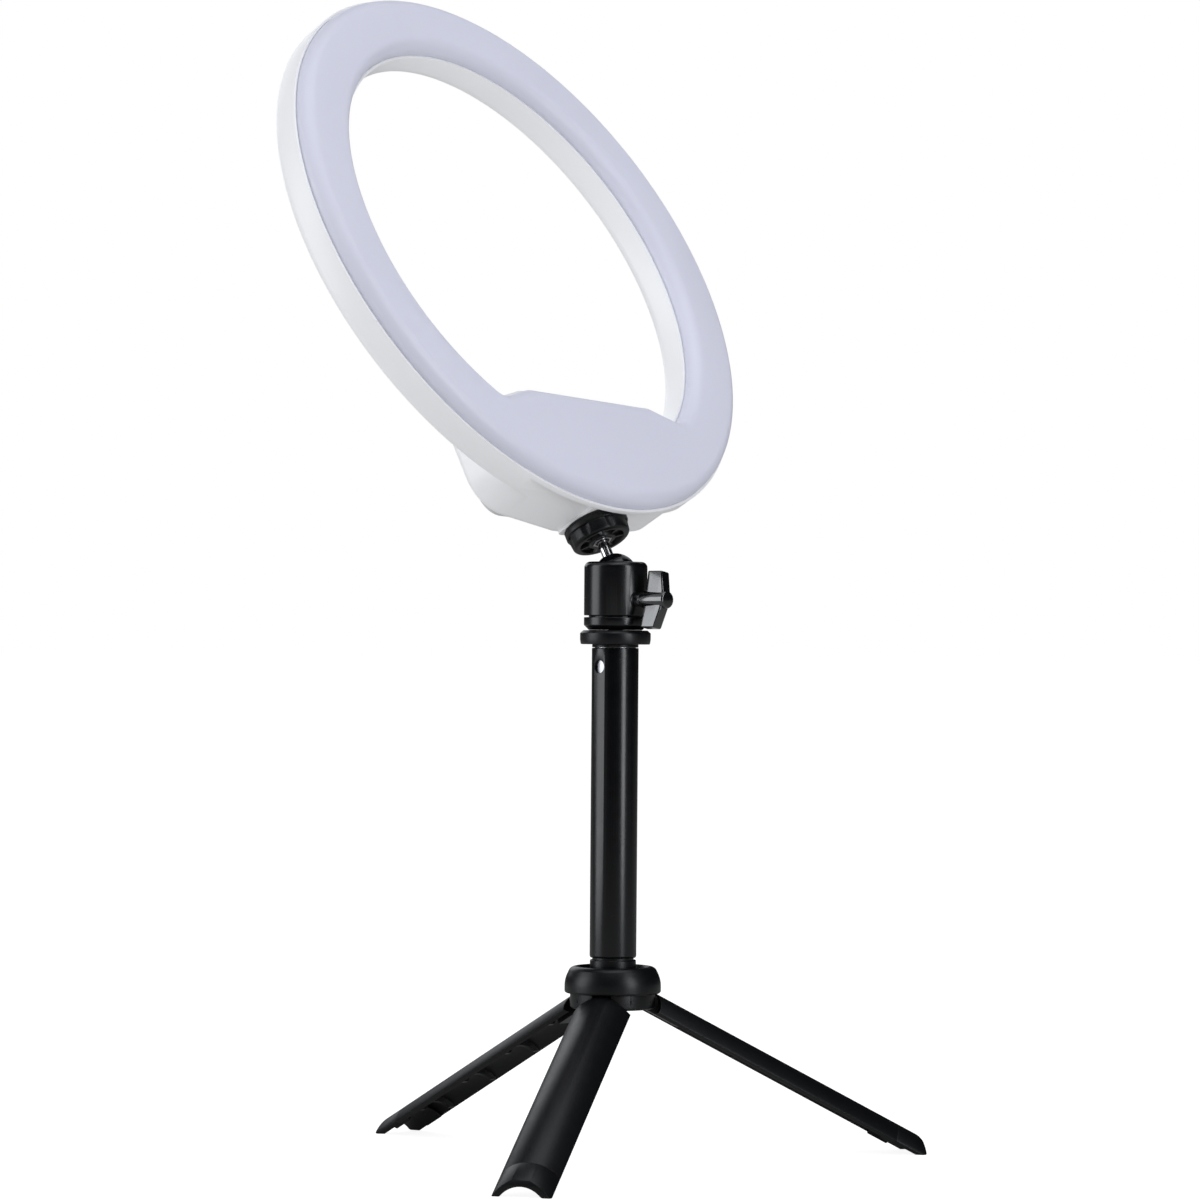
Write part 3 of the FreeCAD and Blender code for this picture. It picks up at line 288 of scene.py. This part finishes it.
def moulded_surface(name, colour, rough, shade=0.06, gleam=0.5, coat=0.0):
    """Moulded plastic: a fine spark-eroded grain, faint flow marks and handling patches."""
    surface, tree, shader, place, add = new_surface(name)
    fine = noise(tree, place, add, 2600.0, 2.0)
    patch = noise(tree, place, add, 34.0, 4.0)
    handled = noise(tree, place, add, 190.0, 5.0, 0.65)
    dark = tuple(c * (1.0 - shade) for c in colour)
    link(tree, tint(tree, add, patch, dark, colour), shader.inputs["Base Color"])
    link(tree, spread(tree, add, handled, rough - 0.02, rough + 0.03), shader.inputs["Roughness"])
    shader.inputs["Specular IOR Level"].default_value = gleam
    shader.inputs["Coat Weight"].default_value = coat
    shader.inputs["Coat Roughness"].default_value = 0.08
    relief(tree, add, shader, [(fine, 1.0)], 0.2, 0.00003)
    return surface


def diffuser_surface(name, colour):
    """Milky plastic that lets light a little way in, with a matt grain."""
    surface, tree, shader, place, add = new_surface(name)
    fine = noise(tree, place, add, 3200.0, 2.0)
    patch = noise(tree, place, add, 16.0, 3.0)
    dark = tuple(c * 0.985 for c in colour)
    link(tree, tint(tree, add, patch, dark, colour), shader.inputs["Base Color"])
    link(tree, spread(tree, add, patch, 0.4, 0.46), shader.inputs["Roughness"])
    shader.inputs["Subsurface Weight"].default_value = 0.25
    shader.inputs["Subsurface Radius"].default_value = (0.9, 0.9, 1.0)
    shader.inputs["Subsurface Scale"].default_value = 0.003
    relief(tree, add, shader, [(fine, 1.0)], 0.2, 0.00002)
    return surface


def coated_surface(name, colour, rough):
    """Sprayed black coat on metal: a slight orange peel and finer dust."""
    surface, tree, shader, place, add = new_surface(name)
    peel = noise(tree, place, add, 900.0, 2.0)
    dust = noise(tree, place, add, 4200.0, 2.0)
    rubbed = noise(tree, place, add, 120.0, 6.0, 0.7)
    dark = tuple(c * 0.7 for c in colour)
    link(tree, tint(tree, add, rubbed, dark, colour), shader.inputs["Base Color"])
    link(tree, spread(tree, add, rubbed, rough - 0.02, rough + 0.04), shader.inputs["Roughness"])
    relief(tree, add, shader, [(peel, 1.0), (dust, 0.3)], 0.08, 0.00002)
    return surface


def metal_surface(name, colour, rough):
    """Bare metal: a very fine grain broken by duller scuffs."""
    surface, tree, shader, place, add = new_surface(name)
    scuff = noise(tree, place, add, 260.0, 6.0, 0.7)
    fine = noise(tree, place, add, 5200.0, 2.0)
    shader.inputs["Metallic"].default_value = 1.0
    dark = tuple(c * 0.86 for c in colour)
    link(tree, tint(tree, add, scuff, dark, colour), shader.inputs["Base Color"])
    link(tree, spread(tree, add, scuff, rough - 0.05, rough + 0.1), shader.inputs["Roughness"])
    relief(tree, add, shader, [(fine, 1.0)], 0.2, 0.00001)
    return surface


MATERIALS = {}


def surface(name):
    """The named material, made when it is first asked for."""
    if name in MATERIALS:
        return MATERIALS[name]
    colours = bpy.context.scene.ring_light_colours
    black = tuple(colours.black)
    made = {
        "Shell White": lambda: moulded_surface("Shell White", tuple(colours.shell), 0.38, shade=0.02),
        "Cover Grey": lambda: moulded_surface("Cover Grey", (0.62, 0.62, 0.64), 0.42),
        "Button Grey": lambda: moulded_surface("Button Grey", (0.42, 0.42, 0.45), 0.3),
        "Diffuser": lambda: diffuser_surface("Diffuser", tuple(colours.diffuser)),
        "Black Moulding": lambda: moulded_surface("Black Moulding", black, 0.36, shade=0.2, gleam=0.4),
        "Knob Moulding": lambda: moulded_surface(
            "Knob Moulding", black, 0.16, shade=0.2, gleam=1.0, coat=1.0),
        "Leg Black": lambda: moulded_surface("Leg Black", black, 0.4, shade=0.2, gleam=0.4),
        "Foot Rubber": lambda: moulded_surface("Foot Rubber", black, 0.4, shade=0.2, gleam=0.4),
        "Base Moulding": lambda: coated_surface("Base Moulding", black, 0.24),
        "Black Rubber": lambda: moulded_surface("Black Rubber", (0.008, 0.008, 0.009), 0.6, shade=0.3),
        "Black Coat": lambda: coated_surface("Black Coat", black, 0.24),
        "Ball Black": lambda: coated_surface("Ball Black", black, 0.12),
        "Bright Steel": lambda: metal_surface("Bright Steel", (0.78, 0.78, 0.8), 0.12),
        "Plain Steel": lambda: metal_surface("Plain Steel", (0.55, 0.55, 0.56), 0.3),
        "Satin Steel": lambda: metal_surface("Satin Steel", (0.86, 0.86, 0.88), 0.42),
        "Bright Aluminium": lambda: metal_surface("Bright Aluminium", (0.6, 0.6, 0.64), 0.34),
        "Insert Brass": lambda: metal_surface("Insert Brass", (0.72, 0.52, 0.22), 0.3),
        "Slide Plastic": lambda: moulded_surface("Slide Plastic", (0.7, 0.7, 0.66), 0.4),
        "Board": lambda: moulded_surface("Board", (0.75, 0.78, 0.75), 0.25),
        "LED": lambda: moulded_surface("LED", (0.85, 0.7, 0.2), 0.3),
        "Component Black": lambda: moulded_surface("Component Black", (0.02, 0.02, 0.02), 0.5),
        "Port Metal": lambda: metal_surface("Port Metal", (0.55, 0.55, 0.56), 0.25),
        "Wire Skin": lambda: moulded_surface("Wire Skin", (0.4, 0.03, 0.02), 0.4),
    }[name]()
    MATERIALS[name] = made
    return made


def wear(piece, name):
    """Gives a piece one surface in place of whatever it had."""
    piece.data.materials.clear()
    piece.data.materials.append(surface(name))


# the pieces carried over from the CAD as they are
NODE_SURFACES = {
    "Black Moulding": ["hub_bottom_cap"],
    "Black Rubber": ["platform_pad"],
    "Black Coat": ["hinge_pins"],
    "Plain Steel": [
        "centre_bolt", "platform_stud", "wheel_nut", "snap_button", "snap_spring", "shell_screws",
    ],
    "Satin Steel": ["clamp_screw"],
    "Insert Brass": ["thread_insert"],
    "Slide Plastic": ["ball_seat", "ball_liner"],
    "Board": ["led_board", "control_board"],
    "LED": ["led_chips"],
    "Component Black": ["tact_switches", "board_parts"],
    "Port Metal": ["power_inlet"],
    "Wire Skin": ["lead_wires"],
}


# ---- operators

class RINGLIGHT_OT_surfaces(Operator):
    """Give each carried-over piece its surface"""
    bl_idname = "ringlight.surfaces"
    bl_label = "Surfaces"

    def execute(self, context):
        for name, nodes in NODE_SURFACES.items():
            for node in nodes:
                wear(frame["nodes"][node], name)
        return {"FINISHED"}


class RINGLIGHT_OT_lamp_head(Operator):
    """Round the moulded edges of the ring's shell and control cover, and weld and smooth the diffuser
    and keys
    """
    bl_idname = "ringlight.lamp_head"
    bl_label = "Lamp Head"

    def execute(self, context):
        edge = context.scene.ring_light_sizes.edge_round
        rounded_copy("rear_shell", "ring_shell", "Shell White", edge, 2)
        rounded_copy("diffuser", "ring_diffuser", "Diffuser", 0.0)
        rounded_copy("control_cover", "control_panel", "Cover Grey", edge * 0.6, 2)
        for name in ("power", "mode", "plus", "minus"):
            rounded_copy("button_" + name, "key_" + name, "Button Grey", 0.0)
        return {"FINISHED"}


class RINGLIGHT_OT_ball_head(Operator):
    """Round the edges of the ball head's turned and moulded pieces"""
    bl_idname = "ringlight.ball_head"
    bl_label = "Ball Head"

    def execute(self, context):
        rounded_copy("ball_housing", "clamp_barrel", "Black Coat", 0.0003)
        rounded_copy("housing_base", "barrel_foot", "Base Moulding", 0.0002)
        rounded_copy("lock_wheel", "stem_wheel", "Black Moulding", 0.0004)
        rounded_copy("wheel_pad", "stem_pad", "Black Rubber", 0.0002, 2)
        rounded_copy("ball", "head_ball", "Ball Black", 0.0001, 2)
        rounded_copy("ball_stud", "head_stem", "Bright Steel", 0.0)
        return {"FINISHED"}


class RINGLIGHT_OT_pole(Operator):
    """Round the edges of the pole's outer tube, cap and platform, and weld and smooth the inner tube
    and plug
    """
    bl_idname = "ringlight.pole"
    bl_label = "Pole"

    def execute(self, context):
        rounded_copy("platform", "head_platform", "Black Moulding", 0.0002)
        rounded_copy("pole_cap", "tube_cap", "Black Moulding", 0.0001, 2)
        rounded_copy("outer_tube", "pole_tube", "Black Coat", 0.0001, 2)
        rounded_copy("inner_tube", "sliding_tube", "Bright Aluminium", 0.0)
        rounded_copy("tube_plug", "tube_root", "Black Moulding", 0.0)
        return {"FINISHED"}


class RINGLIGHT_OT_foot(Operator):
    """Round the edges of the hub, the legs and the feet"""
    bl_idname = "ringlight.foot"
    bl_label = "Foot"

    def execute(self, context):
        edge = context.scene.ring_light_sizes.edge_round
        rounded_copy("hub_collar", "hub_ring", "Black Moulding", 0.0003)
        rounded_copy("hub_body", "hub_block", "Black Moulding", 0.0002, 2)
        for side in ("front", "right", "left"):
            rounded_copy("leg_" + side, "leg_arch_" + side, "Leg Black", edge)
            rounded_copy("foot_cap_" + side, "leg_tip_" + side, "Foot Rubber", edge)
        return {"FINISHED"}


class RINGLIGHT_OT_clamp_knob(Operator):
    """Model the two-winged clamp knob round its screw"""
    bl_idname = "ringlight.clamp_knob"
    bl_label = "Clamp Knob"

    def execute(self, context):
        span = context.scene.ring_light_sizes.knob_span
        deselect_all()
        bpy.ops.mesh.primitive_cube_add(size=1.0, location=((WING_IN + WING_OUT) / 2, 0.0, 0.0))
        wings = context.object
        wings.name = "knob_wings"
        wings.scale = (WING_OUT - WING_IN, WING_THICK, span)
        bpy.ops.object.transform_apply(location=True, rotation=False, scale=True)
        bpy.ops.object.mode_set(mode="EDIT")
        for height in (-WAIST + 0.0004, WAIST - 0.0004):
            bpy.ops.mesh.select_all(action="SELECT")
            bpy.ops.mesh.bisect(plane_co=(0.0, 0.0, height), plane_no=(0.0, 0.0, 1.0))
        for along in (WING_IN + WING_RIM, WING_OUT - WING_RIM):
            bpy.ops.mesh.select_all(action="SELECT")
            bpy.ops.mesh.bisect(plane_co=(along, 0.0, 0.0), plane_no=(1.0, 0.0, 0.0))
        # the waist: thinner where the hub passes between the wings
        select_vertices(wings, lambda v: abs(v.z) < WAIST and v.x < WING_OUT - 0.002)
        bpy.ops.transform.resize(value=(1.0, 0.8, 1.0), center_override=(0.0, 0.0, 0.0))
        # the outer end bulges at its middle and draws in towards the tips
        select_vertices(wings, lambda v: abs(v.z) < WAIST and v.x > WING_OUT - 0.001)
        bpy.ops.transform.translate(value=(WING_RIM, 0.0, 0.0))
        select_vertices(wings, lambda v: abs(v.z) > span / 2 - 0.001 and v.x > WING_OUT - 0.001)
        bpy.ops.transform.translate(value=(-WING_RIM / 2, 0.0, 0.0))
        bpy.ops.object.mode_set(mode="OBJECT")
        round_edges(wings, 0.0007, 4, 28.0)
        bpy.ops.mesh.primitive_cylinder_add(
            vertices=64, radius=HUB_RADIUS, depth=HUB_LENGTH,
            location=(HUB_START + HUB_LENGTH / 2, 0.0, 0.0), rotation=(0.0, math.pi / 2, 0.0))
        hub = context.object
        bpy.ops.object.transform_apply(location=True, rotation=True, scale=False)
        round_edges(hub, 0.0008, 4, 40.0)
        deselect_all()
        hub.select_set(True)
        wings.select_set(True)
        context.view_layer.objects.active = wings
        bpy.ops.object.join()
        low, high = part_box("clamp_screw")
        wings.matrix_world = (
            Matrix.Translation(Vector((0.0, 0.0, (low.z + high.z) / 2)))
            @ Matrix.Rotation(math.radians(KNOB_TURN), 4, "Z")
            @ Matrix.Rotation(math.radians(KNOB_ROLL), 4, "X")
        )
        settle(wings, "knob", "Knob Moulding", "clamp_knob")
        return {"FINISHED"}


class RINGLIGHT_OT_stage(Operator):
    """Add the floor, the soft lamps and the camera"""
    bl_idname = "ringlight.stage"
    bl_label = "Stage"

    def execute(self, context):
        sizes = context.scene.ring_light_sizes
        colours = context.scene.ring_light_colours
        deselect_all()
        bpy.ops.mesh.primitive_plane_add(size=sizes.floor_size, location=(0.0, 0.0, 0.0))
        floor = context.object
        floor.name = "studio_floor"
        paper, tree, shader, place, add = new_surface("Floor Paper")
        patch = noise(tree, place, add, 3.0, 3.0)
        pale = tuple(colours.floor)
        dim = tuple(c * 0.995 for c in pale)
        link(tree, tint(tree, add, patch, dim, pale), shader.inputs["Base Color"])
        shader.inputs["Roughness"].default_value = 0.9
        shader.inputs["Specular IOR Level"].default_value = 0.1
        shader.inputs["Emission Color"].default_value = (1.0, 1.0, 1.0, 1.0)
        # the paper glows white to the eye, but lights the object softly and stays dark in reflections
        link(tree, ray_strength(tree, 0.05, 0.46, 0.9), shader.inputs["Emission Strength"])
        floor.data.materials.append(paper)
        context.scene.view_settings.view_transform = "Standard"
        add_world()
        add_lamps()
        add_camera(sizes.lens)
        return {"FINISHED"}


def ray_strength(tree, mirrored, soft, seen):
    """One brightness in reflections, one on matt surfaces and one to the eye."""
    ray = tree.nodes.new("ShaderNodeLightPath")
    fill = tree.nodes.new("ShaderNodeMapRange")
    fill.inputs["To Min"].default_value = mirrored
    fill.inputs["To Max"].default_value = soft
    look = tree.nodes.new("ShaderNodeMath")
    look.operation = "MULTIPLY"
    look.inputs[1].default_value = seen
    wall = tree.nodes.new("ShaderNodeMath")
    wall.operation = "MAXIMUM"
    link(tree, ray.outputs["Is Diffuse Ray"], fill.inputs["Value"])
    link(tree, ray.outputs["Is Camera Ray"], look.inputs[0])
    link(tree, fill.outputs["Result"], wall.inputs[0])
    link(tree, look.outputs[0], wall.inputs[1])
    return wall.outputs[0]


def add_world():
    """A bright wall behind the object, soft fill on matt surfaces and a dark room in reflections."""
    world = bpy.data.worlds.new("Studio Air")
    bpy.context.scene.world = world
    world.use_nodes = True
    tree = world.node_tree
    background = tree.nodes["Background"]
    background.inputs["Color"].default_value = (1.0, 1.0, 1.0, 1.0)
    link(tree, ray_strength(tree, 0.008, 0.42, 1.0), background.inputs["Strength"])


def view_directions():
    """Level directions seen from the camera: to its right, and away from it."""
    turn = math.radians(VIEW_TURN)
    right = Vector((math.cos(turn), math.sin(turn), 0.0))
    away = Vector((-math.sin(turn), math.cos(turn), 0.0))
    return right, away


def add_lamp(name, turn, distance, height, size, power, aim_height):
    """A softbox at an angle to the right of the camera's side, facing the object."""
    right, away = view_directions()
    angle = math.radians(turn)
    spot = (right * math.sin(angle) - away * math.cos(angle)) * distance + Vector((0.0, 0.0, height))
    lamp = bpy.data.lights.new(name, "AREA")
    lamp.shape = "RECTANGLE"
    lamp.size = size[0]
    lamp.size_y = size[1]
    lamp.energy = power
    lamp.color = LAMP_COLOUR
    holder = bpy.data.objects.new(name, lamp)
    bpy.context.scene.collection.objects.link(holder)
    facing = (Vector((0.0, 0.0, aim_height)) - spot).to_track_quat("-Z", "Y")
    holder.matrix_world = Matrix.Translation(spot) @ facing.to_matrix().to_4x4()


def add_lamps():
    for name, (turn, distance, height, size, power, aim_height) in LAMPS.items():
        add_lamp(name, turn, distance, height, size, power, aim_height)


def add_camera(lens):
    right, away = view_directions()
    spot = right * VIEW_SIDEWAYS - away * VIEW_DISTANCE + Vector((0.0, 0.0, VIEW_HEIGHT))
    pitch = math.radians(VIEW_PITCH)
    roll = math.radians(VIEW_ROLL)
    forward = away * math.cos(pitch) + Vector((0.0, 0.0, math.sin(pitch)))
    level_up = right.cross(forward)
    side = right * math.cos(roll) + level_up * math.sin(roll)
    up = side.cross(forward)
    eye = bpy.data.cameras.new("studio_camera")
    eye.lens = lens
    eye.sensor_width = 36.0
    eye.clip_end = 60.0
    holder = bpy.data.objects.new("studio_camera", eye)
    bpy.context.scene.collection.objects.link(holder)
    turn = Matrix((side, up, -forward)).transposed().to_4x4()
    holder.matrix_world = Matrix.Translation(spot) @ turn
    bpy.context.scene.camera = holder


OPERATORS = (
    RINGLIGHT_OT_surfaces, RINGLIGHT_OT_lamp_head, RINGLIGHT_OT_ball_head, RINGLIGHT_OT_clamp_knob,
    RINGLIGHT_OT_pole, RINGLIGHT_OT_foot, RINGLIGHT_OT_stage,
)


class RINGLIGHT_PT_panel(Panel):
    bl_label = "Ring Light"
    bl_space_type = "VIEW_3D"
    bl_region_type = "UI"
    bl_category = "Ring Light"

    def draw(self, context):
        for operator in OPERATORS:
            self.layout.operator(operator.bl_idname)


CLASSES = (RingLightSizes, RingLightColours) + OPERATORS + (RINGLIGHT_PT_panel,)


def register():
    for item in CLASSES:
        bpy.utils.register_class(item)
    bpy.types.Scene.ring_light_sizes = PointerProperty(type=RingLightSizes)
    bpy.types.Scene.ring_light_colours = PointerProperty(type=RingLightColours)


def unregister():
    del bpy.types.Scene.ring_light_colours
    del bpy.types.Scene.ring_light_sizes
    for item in reversed(CLASSES):
        bpy.utils.unregister_class(item)


def main():
    register()
    for operator in OPERATORS:
        group, name = operator.bl_idname.split(".")
        getattr(getattr(bpy.ops, group), name)()


if __name__ == "__main__":
    main()
